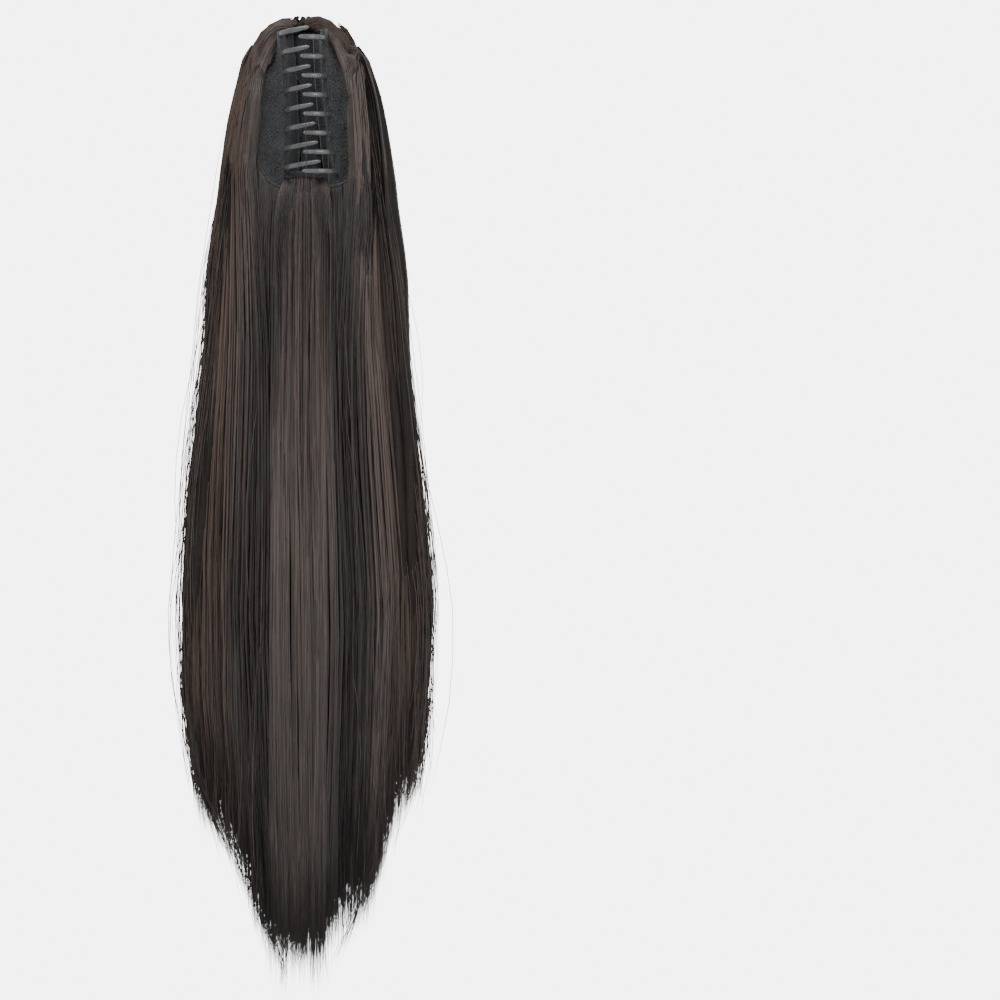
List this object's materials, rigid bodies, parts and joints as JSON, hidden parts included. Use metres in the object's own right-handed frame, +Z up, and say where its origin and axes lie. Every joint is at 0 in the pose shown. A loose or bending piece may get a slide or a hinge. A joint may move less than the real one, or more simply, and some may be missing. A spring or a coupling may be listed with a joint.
{
  "type": "ponytail hairpiece on a claw clip",
  "caption": "Long straight ponytail of false hair sewn to an oval net cap, with a toothed spring claw clip that grips the wearer's own ponytail.",
  "frame": {"origin": "middle of the space that the closed jaws grip, where the piece is held on the wearer's own ponytail", "axes": "+Z up along the clip, with the hair hanging towards -Z; +Y away from the wearer's head, so the teeth point along -Y; +X to the right as the teeth are looked at"},
  "size_m": [0.1494, 0.072, 0.5739],
  "materials": {
    "clip_plastic": "glossy dark smoke-grey moulded plastic",
    "steel": "plain drawn steel wire",
    "net": "black knitted net",
    "hair": "straight dark brown synthetic hair with a soft lengthwise shine"
  },
  "bodies": {
    "root": {"net_cap": "net", "hinge_pin": "steel", "spring": "steel", "hair_outer_fall": "hair", "hair_left_fall": "hair", "hair_right_fall": "hair", "hair_under_fall": "hair"},
    "left_jaw": {"jaw_left": "clip_plastic"},
    "right_jaw": {"jaw_right": "clip_plastic"}
  },
  "joints": [
    {"name": "jaw_left_hinge", "type": "hinge", "parent": "root", "child": "left_jaw", "pos_m": [0, 0.018, 0], "axis": [0.0628, 0, -0.998], "range_deg": [0, 23], "stiffness_Nm_per_rad": 0.2, "springref_deg": -28.65, "deforming": ["spring"]},
    {"name": "jaw_right_hinge", "type": "hinge", "parent": "root", "child": "right_jaw", "pos_m": [0, 0.018, 0], "axis": [-0.0628, 0, 0.998], "range_deg": [0, 23], "stiffness_Nm_per_rad": 0.2, "springref_deg": -28.65, "deforming": ["spring"]}
  ],
  "couplings": [
    {"joint": "jaw_right_hinge", "follows": "jaw_left_hinge", "ratio": 1}
  ]
}
